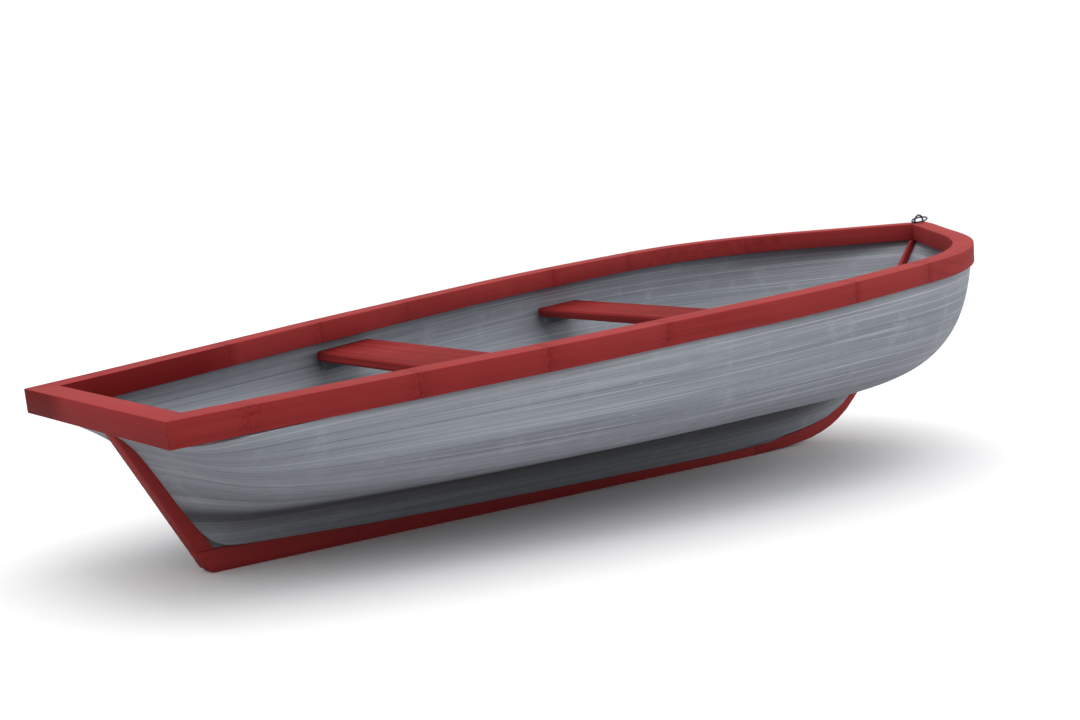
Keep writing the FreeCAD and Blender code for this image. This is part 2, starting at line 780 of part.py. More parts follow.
SCREWS = []
for name in ("aft", "fore"):
    start = size(f"{name}_thwart_start")
    wide = size(f"{name}_thwart_wide")
    drop = size(f"{name}_thwart_drop")
    thick = size("thwart_thick")
    end_gap = size("thwart_end_gap")
    board = solid_between(wire(four_corners(start, start + wide, drop, thick, end_gap)),
                          wire(four_corners(start, start + wide, drop, 0, end_gap)))
    board = board.makeFillet(size("thwart_round"), board.Edges)
    cleat_start = start + size("cleat_inset")
    cleat_end = start + wide - size("cleat_inset")
    cleat_thick = size("cleat_thick")
    low = thick + size("cleat_depth")
    cleat = solid_between(
        wire(four_corners(cleat_start, cleat_end, drop, low, GAP * 2, cleat_thick)),
        wire(four_corners(cleat_start, cleat_end, drop, thick + GAP, GAP * 2, cleat_thick)))
    heads = screw_places(start, wide, drop, low)
    length = size("cleat_depth") + size("screw_in_thwart")
    holes = [Part.makeCylinder(size("screw_radius") + 0.1, length + 2, head - OFF_SHEER, OFF_SHEER)
             for head in both_sides(heads)]
    drilled = Part.Compound(holes)
    piece(f"{name}_thwart", board.cut(drilled))
    cleat = cleat.cut(drilled)
    piece(f"port_{name}_thwart_cleat", cleat)
    piece(f"starboard_{name}_thwart_cleat", mirrored(cleat))
    for head in both_sides(heads):
        seat = head - OFF_SHEER * (size("screw_head_high") + 0.1)
        cap = Part.makeCylinder(size("screw_head_radius"), size("screw_head_high"), seat, OFF_SHEER)
        shank = Part.makeCylinder(size("screw_radius"), length, seat, OFF_SHEER)
        SCREWS.append(cap.fuse(shank))
piece("thwart_screws", Part.Compound(SCREWS))

# ---------------------------------------------------------------- mooring staple and ring

STAPLE_AT = on_rail(size("staple_middle"), 0)
WITH_SHEER = Rotation(Vector(0, 1, 0), -math.degrees(SHEER_ANGLE))

arch = doc.addObject("Part::Torus", "staple_arch_rod")
arch.setExpression("Radius1", "Sizes.staple_arch")
arch.setExpression("Radius2", "Sizes.staple_rod")
arch.Angle3 = 180
arch.Placement = Placement(Vector(), Rotation(Vector(1, 0, 0), 90))
legs = []
for side in (-1, 1):
    leg = doc.addObject("Part::Cylinder", "staple_leg")
    leg.setExpression("Radius", "Sizes.staple_rod")
    leg.setExpression("Height", "Sizes.staple_deep")
    leg.Placement = Placement(Vector(side * size("staple_arch"), 0, -size("staple_deep")), Rotation())
    legs.append(leg)
staple = doc.addObject("Part::MultiFuse", "mooring_staple")
staple.Shapes = [arch] + legs
staple.Label = "mooring_staple"
staple.Placement = TO_PART.multiply(Placement(STAPLE_AT, WITH_SHEER))

AFTER_FOOT = STAPLE_AT - ALONG_SHEER * size("staple_arch")
RING_HINGE = AFTER_FOOT + ALONG_SHEER * size("ring_from_foot") + OFF_SHEER * size("ring_off_rail")
lean = math.radians(size("ring_lean"))
RING_REACH = Vector(math.cos(lean), 0, math.sin(lean))
ring = doc.addObject("Part::Torus", "mooring_ring")
ring.Label = "mooring_ring"
ring.setExpression("Radius1", "Sizes.ring_radius")
ring.setExpression("Radius2", "Sizes.ring_rod")
ring_middle = RING_HINGE + RING_REACH * size("ring_radius")
ring.Placement = TO_PART.multiply(Placement(ring_middle, Rotation(Vector(0, 1, 0), -size("ring_lean"))))

# ---------------------------------------------------------------- checks and files

doc.recompute()
SUB_PARTS = [item for item in doc.Objects
             if item.TypeId in ("Part::Feature", "PartDesign::Body") or item in (staple, ring)]
for item in doc.Objects:
    if "Invalid" in item.State or "Error" in item.State:
        raise RuntimeError(f"{item.Label} failed: {item.State}")
for item in SUB_PARTS:
    if item.Shape.isNull() or not item.Shape.isValid():
        raise RuntimeError(f"{item.Label} has no valid shape")
os.makedirs("parts", exist_ok=True)
for item in SUB_PARTS:
    item.Shape.exportStep(f"parts/{item.Label}.step")
print(len(SUB_PARTS), "sub-parts written")
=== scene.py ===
import math

import bmesh
import bpy
import numpy as np
from mathutils import Matrix, Vector


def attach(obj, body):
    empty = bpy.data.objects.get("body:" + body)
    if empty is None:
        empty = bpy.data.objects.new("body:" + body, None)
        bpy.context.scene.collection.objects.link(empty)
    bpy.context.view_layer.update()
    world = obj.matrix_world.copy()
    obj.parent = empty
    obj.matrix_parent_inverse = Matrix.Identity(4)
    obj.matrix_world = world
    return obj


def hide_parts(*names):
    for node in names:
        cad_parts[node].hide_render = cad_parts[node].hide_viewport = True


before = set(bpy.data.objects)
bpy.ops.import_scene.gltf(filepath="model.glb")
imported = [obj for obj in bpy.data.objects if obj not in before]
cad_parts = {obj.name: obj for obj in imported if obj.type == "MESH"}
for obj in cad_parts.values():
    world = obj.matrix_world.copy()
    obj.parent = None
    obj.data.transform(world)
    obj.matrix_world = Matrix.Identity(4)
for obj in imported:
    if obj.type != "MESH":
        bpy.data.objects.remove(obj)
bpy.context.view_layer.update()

# ---------------------------------------------------------------- camera
# The viewer is off the boat's starboard quarter with their eyes a metre above the floor, and looks
# forward along its side, so that the stern, the starboard planking and the inside all show.

VIEW_PLACE = Vector((-3.49834, -3.42759, 1.03929))
VIEW_YAW = math.radians(42.1935)
VIEW_PITCH = math.radians(6.797)
VIEW_ROLL = math.radians(0.8748)
LENS = 45.189

ahead = Vector((math.sin(VIEW_YAW) * math.cos(VIEW_PITCH),
                math.cos(VIEW_YAW) * math.cos(VIEW_PITCH), -math.sin(VIEW_PITCH)))
level = Vector((math.cos(VIEW_YAW), -math.sin(VIEW_YAW), 0))
below = ahead.cross(level)
across_view = level * math.cos(VIEW_ROLL) + below * math.sin(VIEW_ROLL)
down_view = below * math.cos(VIEW_ROLL) - level * math.sin(VIEW_ROLL)

camera = bpy.data.objects.new("camera", bpy.data.cameras.new("camera"))
bpy.context.scene.collection.objects.link(camera)
camera.data.sensor_width = 36
camera.data.lens = LENS
camera.data.clip_end = 500
camera.matrix_world = (Matrix.Translation(VIEW_PLACE)
                       @ Matrix((across_view, -down_view, -ahead)).transposed().to_4x4())
bpy.context.scene.camera = camera
bpy.context.scene.view_settings.view_transform = "Standard"

# ---------------------------------------------------------------- studio floor and light
# The boat stands on its keel on a plain white floor, under a white sky that dims towards the
# horizon.  A broad soft light hangs overhead, and a smaller one ahead and to starboard.


class Signal:
    """A socket of one node tree, on which Python's operators act as Math nodes."""

    def __init__(self, tree, socket=None):
        self.tree = tree
        self.socket = socket

    def node(self, kind, settings=(), inputs=(), output=0):
        """A new node of a type, with its settings, then its sockets' values or links."""
        made = self.tree.nodes.new("ShaderNode" + kind)
        for name, value in dict(settings).items():
            setattr(made, name, value)
        for name, value in dict(inputs).items():
            if isinstance(value, Signal):
                self.tree.links.new(value.socket, made.inputs[name])
            else:
                made.inputs[name].default_value = value
        return Signal(self.tree, made.outputs[output])

    def math(self, operation, first, second=0.0):
        return self.node("Math", {"operation": operation}, {0: first, 1: second})

    def __add__(self, other):
        return self.math("ADD", self, other)

    def __radd__(self, other):
        return self.math("ADD", other, self)

    def __sub__(self, other):
        return self.math("SUBTRACT", self, other)

    def __rsub__(self, other):
        return self.math("SUBTRACT", other, self)

    def __mul__(self, other):
        return self.math("MULTIPLY", self, other)

    def __rmul__(self, other):
        return self.math("MULTIPLY", other, self)

    def mix(self, first, second):
        """One colour to another as this signal goes from 0 to 1."""
        return self.node("Mix", {"data_type": "RGBA"}, {"Factor": self, "A": first, "B": second}, 2)

    def band(self, low, high, start=0.0, end=1.0):
        """This signal's stretch between two values, spread smoothly over two others."""
        return self.node("MapRange", {"interpolation_type": "SMOOTHSTEP"},
                         {"Value": self, "From Min": low, "From Max": high,
                          "To Min": start, "To Max": end})


def shade(colour):
    """A colour's socket value, opaque."""
    return (*colour, 1)


FLOOR_COLOUR = (0.86, 0.86, 0.865)
FLOOR_BOUNCE = (0.55, 0.545, 0.55)
FLOOR_ROUGHNESS = 0.9
FLOOR_SIDE = 120
floor_mesh = bmesh.new()
bmesh.ops.create_grid(floor_mesh, x_segments=1, y_segments=1, size=FLOOR_SIDE / 2)
floor = bpy.data.objects.new("floor", bpy.data.meshes.new("floor"))
floor_mesh.to_mesh(floor.data)
floor_mesh.free()
bpy.context.scene.collection.objects.link(floor)

floor_paint = bpy.data.materials.new("floor_paint")
floor_paint.use_nodes = True
floor.data.materials.append(floor_paint)
floor_tree = floor_paint.node_tree
floor_flow = Signal(floor_tree)
seen = floor_flow.node("LightPath")
floor_shader = floor_tree.nodes["Principled BSDF"]
floor_tree.links.new(seen.mix(shade(FLOOR_BOUNCE), shade(FLOOR_COLOUR)).socket,
                     floor_shader.inputs["Base Color"])
floor_shader.inputs["Roughness"].default_value = FLOOR_ROUGHNESS
floor_shader.inputs["Specular IOR Level"].default_value = 0.0

SKY_TOP = 1.60
SKY_HORIZON = 0.185
SKY_SEEN = 1.05
sky = bpy.data.worlds.new("sky")
bpy.context.scene.world = sky
sky.use_nodes = True
sky_flow = Signal(sky.node_tree)
towards = sky_flow.node("TexCoord", output=0)
height = sky_flow.node("SeparateXYZ", inputs={0: towards}, output=2)
glow = height.band(-0.05, 1.0, SKY_HORIZON, SKY_TOP)
seen_sky = sky_flow.node("LightPath")
strength = glow + seen_sky * (SKY_SEEN - glow)
sky_shader = sky.node_tree.nodes["Background"]
sky_shader.inputs["Color"].default_value = (1, 1, 1, 1)
sky.node_tree.links.new(strength.socket, sky_shader.inputs["Strength"])


def soft_light(name, place, aim, side, watts):
    """A square soft box that points at a place."""
    light = bpy.data.lights.new(name, "AREA")
    light.shape = "SQUARE"
    light.size = side
    light.energy = watts
    lamp = bpy.data.objects.new(name, light)
    bpy.context.scene.collection.objects.link(lamp)
    lamp.location = place
    lamp.rotation_euler = (Vector(aim) - Vector(place)).to_track_quat("-Z", "Y").to_euler()


soft_light("overhead_light", place=(0.3, 0.0, 6.0), aim=(0, 0, 0), side=7.0, watts=150)
soft_light("bow_light", place=(6.5, -4.5, 3.5), aim=(0.8, 0, 0.4), side=3.0, watts=125)

# ---------------------------------------------------------------- planking
# Ten strakes a side, each of three narrow strips of wood glued edge to edge, bent to the hull and
# nailed to the apron at its forward end.  The slate grey paint is brushed along the grain, and the
# strips show as long pale and dark lines that run together at the stern and at the bow.

HALF_LENGTH = 2.0034935
PLANK_THICK = 0.014
CENTRE_HALF = 0.022
EDGE_HALF = 0.019
RAIL_UNDER_AFT = 0.446159
SHEER_RISE = 0.0975
STRAKES = 10
SEAM = 0.0001
PLANK_EDGE = 0.0007
DEGREE = 3

# The faired shape's control points, as on the lines plan: distance forward of the stern, half
# breadth, height, from the rail down to the keel.  A first point lies under the rail.
STATIONS = [
    [(.047, EDGE_HALF), (.101, EDGE_HALF, .415), (.143, EDGE_HALF, .360), (.183, EDGE_HALF, .300),
     (.222, EDGE_HALF, .240), (.255, EDGE_HALF, .190), (.281, EDGE_HALF, .150),
     (.309, EDGE_HALF, .108), (.336, EDGE_HALF, .063)],
    [(.042, .210), (.124, .172, .412), (.190, .150, .355), (.235, .130, .296), (.270, .105, .238),
     (.300, .082, .190), (.325, .062, .150), (.360, .044, .108), (.400, EDGE_HALF, .063)],
    [(.020, .458), (.128, .404, .405), (.225, .355, .345), (.290, .300, .285), (.335, .225, .233),
     (.370, .150, .190), (.410, .092, .150), (.460, .051, .108), (.520, EDGE_HALF, .062)],
    [(.360, .466), (.380, .472, .415), (.430, .450, .330), (.480, .380, .270), (.530, .280, .230),
     (.570, .175, .192), (.610, .100, .150), (.660, .051, .106), (.720, EDGE_HALF, .058)],
    [(.950, .575), (.950, .592, .450), (.950, .575, .345), (.955, .485, .277), (.960, .350, .236),
     (.970, .205, .196), (.980, .105, .152), (1.000, .049, .104), (1.020, EDGE_HALF, .049)],
    [(1.650, .700), (1.650, .715, .505), (1.650, .695, .380), (1.650, .590, .303),
     (1.650, .425, .255), (1.650, .245, .210), (1.650, .115, .157), (1.650, .049, .102),
     (1.650, EDGE_HALF, .040)],
    [(2.350, .770), (2.350, .780, .575), (2.350, .757, .438), (2.350, .645, .345),
     (2.350, .460, .287), (2.350, .262, .236), (2.350, .120, .175), (2.350, .049, .107),
     (2.350, EDGE_HALF, .034)],
    [(3.060, .758), (3.050, .778, .615), (3.030, .750, .460), (3.000, .612, .350),
     (2.970, .420, .288), (2.945, .238, .235), (2.925, .115, .182), (2.905, .046, .118),
     (2.880, EDGE_HALF, .034)],
    [(3.540, .518), (3.500, .522, .650), (3.450, .465, .512), (3.390, .356, .412),
     (3.330, .242, .336), (3.270, .142, .270), (3.220, .078, .212), (3.180, .038, .148),
     (3.140, EDGE_HALF, .066)],
    [(3.780, .216), (3.720, .197, .695), (3.640, .158, .570), (3.560, .122, .467),
     (3.490, .091, .378), (3.430, .065, .300), (3.370, .046, .232), (3.320, .033, .168),
     (3.270, EDGE_HALF, .098)],
]
STEM_EDGE = [(3.935,), (3.845, .715), (3.755, .605), (3.670, .500), (3.590, .400), (3.520, .320),
             (3.455, .248), (3.395, .184), (3.328, .122)]
STEM_FOOT_HIGH = 0.135
STEM_HEAD_HALF = 0.006
SHEER_EXTRA = 0.003


def rail_under(fore):
    """Height of the cap rail's underside, at a distance forward of the stern."""
    return RAIL_UNDER_AFT + SHEER_RISE * fore


def stem_half(high):
    """Half the gap between the planks' forward ends, at a height."""
    head_high = rail_under(STEM_EDGE[0][0])
    share = np.clip((high - STEM_FOOT_HIGH) / (head_high - STEM_FOOT_HIGH), 0, None)
    return CENTRE_HALF + (STEM_HEAD_HALF - CENTRE_HALF) * share


def control_net():
    """The control points of the whole surface: the stations, then the forward edge on the stem."""
    net = []
    for station in STATIONS:
        first = (*station[0], rail_under(station[0][0]) + SHEER_EXTRA)
        net.append([first] + station[1:])
    stem = []
    for fore, *known in STEM_EDGE:
        high = known[0] if known else rail_under(fore) + SHEER_EXTRA
        stem.append((fore, float(stem_half(high)) - (CENTRE_HALF - EDGE_HALF), high))
    return np.array(net + [stem])


def spline_weights(places, count):
    """How much each of a row of control points counts at places from 0 to 1 of a clamped spline."""
    knots = np.concatenate([[0] * DEGREE, np.linspace(0, 1, count - DEGREE + 1), [1] * DEGREE])
    places = np.clip(places, 0, 1 - 1e-9)[:, None]
    weights = ((knots[:-1] <= places) & (places < knots[1:])).astype(float)
    for degree in range(1, DEGREE + 1):
        spans = knots[degree:] - knots[:-degree]
        spans = np.where(spans > 0, spans, np.inf)
        rising = (places - knots[:-degree]) / spans
        weights = (rising[:, :-1] * weights[:, :-1]
                   + (1 - rising[:, 1:]) * weights[:, 1:])
    return weights


NET = control_net()


def hull_points(along, girth):
    """Points of the starboard planking's outer face, at places along the hull and round it."""
    lengthwise = spline_weights(np.ravel(along), NET.shape[0])
    around = spline_weights(np.ravel(girth), NET.shape[1])
    points = np.einsum("pi,pj,ijk->pk", lengthwise, around, NET)
    return points * (1, -1, 1) - (HALF_LENGTH, 0, 0)


def first_place(test, low, high, steps=30):
    """Halving, for whole arrays: where a test that fails at low and holds at high starts to hold."""
    for _ in range(steps):
        middle = (low + high) / 2
        passed = test(middle)
        low = np.where(passed, low, middle)
        high = np.where(passed, middle, high)
    return high


def under_rail(along):
    """The girth place at which the planking meets the rail's underside."""
    def covered(girth):
        points = hull_points(along, girth)
        return points[:, 2] < rail_under(points[:, 0] + HALF_LENGTH)
    return first_place(covered, np.zeros_like(along), np.full_like(along, 0.2))


def at_keel(along):
    """The girth place at which the planking meets the hog's side."""
    return first_place(lambda girth: -hull_points(along, girth)[:, 1] < CENTRE_HALF,
                       np.full_like(along, 0.7), np.ones_like(along))


def at_sternpost(girth):
    """The place along the hull at which a line of planking leaves the inner sternpost."""
    return first_place(lambda along: -hull_points(along, girth)[:, 1] > CENTRE_HALF,
                       np.zeros_like(girth), np.full_like(girth, 0.3))


def at_stem(girth):
    """The place along the hull at which a line of planking meets the apron's side."""
    def met(along):
        points = hull_points(along, girth)
        return -points[:, 1] < stem_half(points[:, 2])
    return first_place(met, np.full_like(girth, 0.75), np.ones_like(girth))


GIRTH_SAMPLES = 400
girth_shares = np.linspace(0, 1, GIRTH_SAMPLES)
midship_line = hull_points(np.full(GIRTH_SAMPLES, 0.5), girth_shares)
girth_lengths = np.concatenate([[0], np.cumsum(np.linalg.norm(np.diff(midship_line, axis=0), axis=1))])
seams = np.interp(np.linspace(0, girth_lengths[-1], STRAKES + 1), girth_lengths, girth_shares)
PLANK_WIDE = girth_lengths[-1] / STRAKES

# Distances along the hull from amidships, on a line four tenths of the way round from rail to keel.
RUN_SAMPLES = 200
RUN_GIRTH = 0.4
run_shares = np.linspace(0, 1, RUN_SAMPLES)
run_line = hull_points(run_shares, np.full(RUN_SAMPLES, RUN_GIRTH))
run_lengths = np.concatenate([[0], np.cumsum(np.linalg.norm(np.diff(run_line, axis=0), axis=1))])
run_lengths = run_lengths - run_lengths[RUN_SAMPLES // 2]

ALONG_CELLS = 150
ACROSS_CELLS = 9
SLOPE_STEP = 1e-4
STRAKE_NAMES = {1: "sheer_strake", STRAKES: "garboard_strake"}
STRAKE_LENGTHS = {3: ["_after", "_forward"], 8: ["_after", "_midship", "_forward"]}


def strake_places(number, shares):
    """Where the corners of a strake's grid lie along the hull and round it."""
    half_seam = SEAM / 2 / girth_lengths[-1]
    start = seams[number - 1] + (half_seam if number > 1 else 0)
    end = seams[number] - (half_seam if number < STRAKES else 0)
    girth = start + (end - start) * shares[:, 1]
    along = at_sternpost(girth) + (at_stem(girth) - at_sternpost(girth)) * shares[:, 0]
    if number == 1:
        top = under_rail(along)
        girth = top + (end - top) * shares[:, 1]
    if number == STRAKES:
        low = at_keel(along)
        girth = start + (low - start) * shares[:, 1]
    return along, girth


def inboard(along, girth):
    """Directions square to the planking's outer face, into the boat."""
    girth_over = np.clip(girth + SLOPE_STEP, 0, 1)
    girth_under = np.clip(girth - SLOPE_STEP, 0, 1)
    lengthwise = hull_points(along + SLOPE_STEP, girth) - hull_points(along - SLOPE_STEP, girth)
    around = hull_points(along, girth_over) - hull_points(along, girth_under)
    square = np.cross(around, lengthwise)
    return square / np.linalg.norm(square, axis=1)[:, None]


def add_object(name, mesh, sharp):
    """A finished bmesh as an object of the scene, smooth but for its sharp edges."""
    made = bpy.data.objects.new(name, bpy.data.meshes.new(name))
    bmesh.ops.recalc_face_normals(mesh, faces=mesh.faces)
    mesh.to_mesh(made.data)
    mesh.free()
    for face in made.data.polygons:
        face.use_smooth = True
    made.data.set_sharp_from_angle(angle=math.radians(sharp))
    bpy.context.scene.collection.objects.link(made)
    return made


def ease_corners(mesh, turn, eased, segments):
    """Takes off the edges at which the faces turn by more than an angle in degrees."""
    corners = [edge for edge in mesh.edges
               if len(edge.link_faces) == 2 and edge.calc_face_angle() > math.radians(turn)]
    bmesh.ops.bevel(mesh, geom=corners, offset=eased, offset_type="OFFSET", segments=segments,
                    profile=0.5, affect="EDGES", material=-1)


def strake_piece(side, number):
    """One strake: a grid bent to the hull between two seams, given its thickness and eased edges."""
    mesh = bmesh.new()
    grain = mesh.loops.layers.uv.new("grain")
    bmesh.ops.create_grid(mesh, x_segments=ALONG_CELLS, y_segments=ACROSS_CELLS, size=0.5)
    bmesh.ops.translate(mesh, verts=mesh.verts, vec=(0.5, 0.5, 0))
    along, girth = strake_places(number, np.array([vertex.co[:2] for vertex in mesh.verts]))
    outer = hull_points(along, girth)
    inner = outer + inboard(along, girth) * PLANK_THICK
    run = np.interp(along, run_shares, run_lengths)
    wide = np.interp(girth, girth_shares, girth_lengths)
    mesh.verts.index_update()
    for face in mesh.faces:
        for loop in face.loops:
            loop[grain].uv = (run[loop.vert.index], wide[loop.vert.index])
    inner_side = bmesh.ops.duplicate(mesh, geom=mesh.verts[:] + mesh.edges[:] + mesh.faces[:])
    to_side = np.array((1, -1 if side == "port" else 1, 1))
    for vertex in mesh.verts[:len(outer)]:
        inner_side["vert_map"][vertex].co = inner[vertex.index] * to_side
        vertex.co = outer[vertex.index] * to_side
    rims = [edge for edge in mesh.edges if edge.is_boundary]
    bridged = bmesh.ops.bridge_loops(mesh, edges=rims)
    for face in bridged["faces"]:
        for loop in face.loops:
            loop[grain].uv = (loop.vert.co.x + HALF_LENGTH, loop.vert.co.z)
    bmesh.ops.recalc_face_normals(mesh, faces=mesh.faces)
    ease_corners(mesh, turn=50, eased=PLANK_EDGE, segments=1)
    name = f"{side}_{STRAKE_NAMES.get(number, f'strake_{number}')}"
    piece = add_object(f"{name}_planks", mesh, sharp=40)
    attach(piece, "boat")
    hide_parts(*[name + length for length in STRAKE_LENGTHS.get(number, [""])])
    return piece


STRIPS_A_PLANK = 3
SLATE = (0.338, 0.362, 0.404)
SLATE_PALE = (0.49, 0.515, 0.555)
SLATE_DARK = (0.225, 0.241, 0.272)
SEAM_SHADOW = (0.125, 0.132, 0.145)
SEAM_PALE = (0.60, 0.63, 0.67)
PAINT_SHEEN = 0.07

# Painted shade darkens a band round the bilge, where the planks turn under: distances round the hull
# from the rail at which the painted shade starts, is deepest and has nearly gone.
BILGE_TOP = 0.53
BILGE_DEEPEST = 0.70
BILGE_FOOT = 0.95
BILGE_PAINTED_SHADE = (0.085, 0.088, 0.095)


def plain_paint(name):
    """A new material, with the start of its node flow and its shader."""
    paint = bpy.data.materials.new(name)
    paint.use_nodes = True
    return paint, Signal(paint.node_tree), paint.node_tree.nodes["Principled BSDF"]


def finish_paint(flow, shader, colour, roughness, relief, depth):
    """Joins a paint's colour, roughness and relief to its shader."""
    shader.inputs["Specular IOR Level"].default_value = PAINT_SHEEN
    bump = flow.node("Bump", {}, {"Height": relief, "Distance": depth, "Strength": 1.0})
    for name, signal in (("Base Color", colour), ("Roughness", roughness), ("Normal", bump)):
        flow.tree.links.new(signal.socket, shader.inputs[name])


def grain_streaks(flow, grain, along, across, detail, roughness=0.55):
    """Noise drawn out along the wood: how often it changes in a metre along the grain and across it."""
    laid = flow.node("Mapping", inputs={"Vector": grain, "Scale": (along, across, 1)})
    return flow.node("TexNoise", {"noise_dimensions": "2D"},
                     {"Vector": laid, "Scale": 1.0, "Detail": detail, "Roughness": roughness})


def plank_paint():
    """Slate paint on the planks: brush marks, worn patches, the strips' joints and painted shade along
    the bilge.
    """
    paint, flow, shader = plain_paint("brushed_slate_paint")
    grain = flow.node("UVMap", {"uv_map": "grain"})
    wide = flow.node("SeparateXYZ", inputs={0: grain}, output=1)
    broad = grain_streaks(flow, grain, 0.30, 16, 3)
    brushed = grain_streaks(flow, grain, 0.9, 130, 5, 0.62)
    fine = grain_streaks(flow, grain, 3.0, 520, 5, 0.7)
    place = flow.node("TexCoord", output=3)
    rubbed = flow.node("TexNoise", {}, {"Vector": place, "Scale": 8.0, "Detail": 6.0, "Roughness": 0.68})
    grit = flow.node("TexNoise", {}, {"Vector": place, "Scale": 210.0, "Detail": 3.0})

    strips_a_metre = STRIPS_A_PLANK / PLANK_WIDE
    wander = grain_streaks(flow, grain, 0.8, 3, 2) * 0.10
    off_seam = flow.math("PINGPONG", wide * strips_a_metre + wander, 0.5)
    seam_tone = grain_streaks(flow, grain, 0.45, strips_a_metre * 1.4, 2)
    dark_seam = off_seam.band(0.0, 0.036, 1.0, 0.0) * seam_tone.band(0.54, 0.63)
    pale_seam = off_seam.band(0.0, 0.040, 1.0, 0.0) * seam_tone.band(0.54, 0.44)

    tone = broad * 0.34 + brushed * 0.36 + fine * 0.30
    painted = tone.band(0.36, 0.62).mix(shade(SLATE_DARK), shade(SLATE))
    wear = rubbed.band(0.50, 0.70) * grit.band(0.30, 0.62) * 0.32 + brushed.band(0.58, 0.72) * 0.45
    worn = wear.mix(painted, shade(SLATE_PALE))
    shadowed = (dark_seam * 0.75).mix(worn, shade(SEAM_SHADOW))
    lined = (pale_seam * 0.85).mix(shadowed, shade(SEAM_PALE))
    # Painted shade: a dark band along the bilge, where the planks turn under.
    bilge_shade = wide.band(BILGE_TOP, BILGE_DEEPEST) * wide.band(BILGE_FOOT, BILGE_DEEPEST, 0.18, 1.0)
    colour = (bilge_shade * 0.92).mix(lined, shade(BILGE_PAINTED_SHADE))
    relief = fine * 0.5 + brushed * 0.5 + grit * 0.1 - dark_seam * 1.2 + pale_seam * 0.3
    finish_paint(flow, shader, colour, fine * 0.25 + 0.40, relief, depth=0.0006)
    return paint


planking = plank_paint()
for side in ("port", "starboard"):
    for number in range(1, STRAKES + 1):
        strake_piece(side, number).data.materials.append(planking)

# ---------------------------------------------------------------- keel, posts and stem
# The backbone is sawn timber with its edges just taken off: the keel bolted up to the hog, and the
# forefoot, stem and sternpost.  It is dark red, like the apron inside the stem, while the hog and the
# inner sternpost are slate grey.

SAWN_EDGE = 0.003
WELD = 2e-5
FLAT_TURN = math.radians(0.6)


def timber_piece(node, paint, eased):
    """A sawn timber: the CAD piece with its edges eased, and its grain laid along its length."""
    mesh = bmesh.new()
    mesh.from_mesh(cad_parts[node].data)
    for layer in list(mesh.loops.layers.uv.values()):
        mesh.loops.layers.uv.remove(layer)
    bmesh.ops.remove_doubles(mesh, verts=mesh.verts, dist=WELD)
    bmesh.ops.dissolve_limit(mesh, angle_limit=FLAT_TURN, verts=mesh.verts, edges=mesh.edges)
    bmesh.ops.recalc_face_normals(mesh, faces=mesh.faces)
    ease_corners(mesh, turn=32, eased=eased, segments=2)
    bmesh.ops.triangulate(mesh, faces=[face for face in mesh.faces if len(face.verts) > 4])
    places = np.array([vertex.co for vertex in mesh.verts])
    spread = places - places.mean(axis=0)
    lengthwise = Vector(np.linalg.eigh(spread.T @ spread)[1][:, 2])
    across = Vector((0, 0, 1)).cross(lengthwise).normalized()
    upright = lengthwise.cross(across)
    grain = mesh.loops.layers.uv.new("grain")
    for face in mesh.faces:
        for loop in face.loops:
            place = loop.vert.co
            loop[grain].uv = (place.dot(lengthwise), place.dot(across) + place.dot(upright))
    piece = add_object(f"{node}_timber", mesh, sharp=34)
    piece.data.materials.append(paint)
    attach(piece, "boat")
    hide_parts(node)
    return piece


def facing_up(flow):
    """The upward share of the surface's direction."""
    direction = flow.node("NewGeometry", output=1)
    return flow.node("SeparateXYZ", inputs={0: direction}, output=2)


def timber_paint(name, base, dark, scuffed, wear, roughness, top=None, marks=None):
    """Boat paint on sawn wood: grain telling through, uneven fading, scuffs, and a piece's own marks."""
    paint, flow, shader = plain_paint(name)
    grain = flow.node("UVMap", {"uv_map": "grain"})
    place = flow.node("TexCoord", output=3)
    fibres = grain_streaks(flow, grain, 3.0, 260, 5, 0.65)
    figure = grain_streaks(flow, grain, 0.8, 38, 3)
    fading = flow.node("TexNoise", {}, {"Vector": place, "Scale": 2.6, "Detail": 4})
    grit = flow.node("TexNoise", {}, {"Vector": place, "Scale": 150, "Detail": 3})
    tone = figure * 0.34 + fibres * 0.22 + fading * 0.44
    body = tone.band(0.34, 0.62).mix(shade(dark), shade(base))
    # A top colour, where given, is painted shade: it darkens the faces that look up.
    if top:
        painted_shade_top_body = tone.band(0.2, 0.9).mix(shade(top), shade(base))
        body = facing_up(flow).band(0.4, 0.9).mix(body, painted_shade_top_body)
    scuffs = fibres.band(0.60, 0.74) * fading.band(0.48, 0.66) * grit.band(0.35, 0.6)
    colour = (scuffs * wear).mix(body, shade(scuffed))
    if marks:
        colour = marks(flow, place, grit, colour)
    gloss = fading * 0.18 + fibres * 0.10 + (roughness - 0.14)
    relief = fibres * 0.5 + figure * 0.5 + grit * 0.12
    finish_paint(flow, shader, colour, gloss, relief, depth=0.0005)
    return paint


backbone_paint = timber_paint("dark_red_boat_paint", base=(0.345, 0.036, 0.036),
                              dark=(0.28, 0.030, 0.030), scuffed=(0.46, 0.16, 0.15),
                              wear=0.35, roughness=0.55)
for node in ("keel", "forefoot", "stem", "sternpost"):
    timber_piece(node, backbone_paint, SAWN_EDGE)
timber_piece("apron", backbone_paint, SAWN_EDGE)

# A darker grey than the planking's; on the cleats under the thwarts it is painted shade.
inner_and_shade_paint = timber_paint("slate_inner_and_shade_paint", base=(0.21, 0.22, 0.24), dark=(0.13, 0.136, 0.146),
                           scuffed=(0.42, 0.43, 0.45), wear=0.4, roughness=0.6)
for node in ("hog", "inner_sternpost"):
    timber_piece(node, inner_and_shade_paint, SAWN_EDGE)

# ---------------------------------------------------------------- cap rail
# Seven lengths of squared softwood a side, sawn to the sheer's curve and butted end to end, and a bar
# across the stern that is mitred to them.  The red paint is smudged dark near most of the joints, and
# the upright faces of the port quarter carry streaks of painted shade.

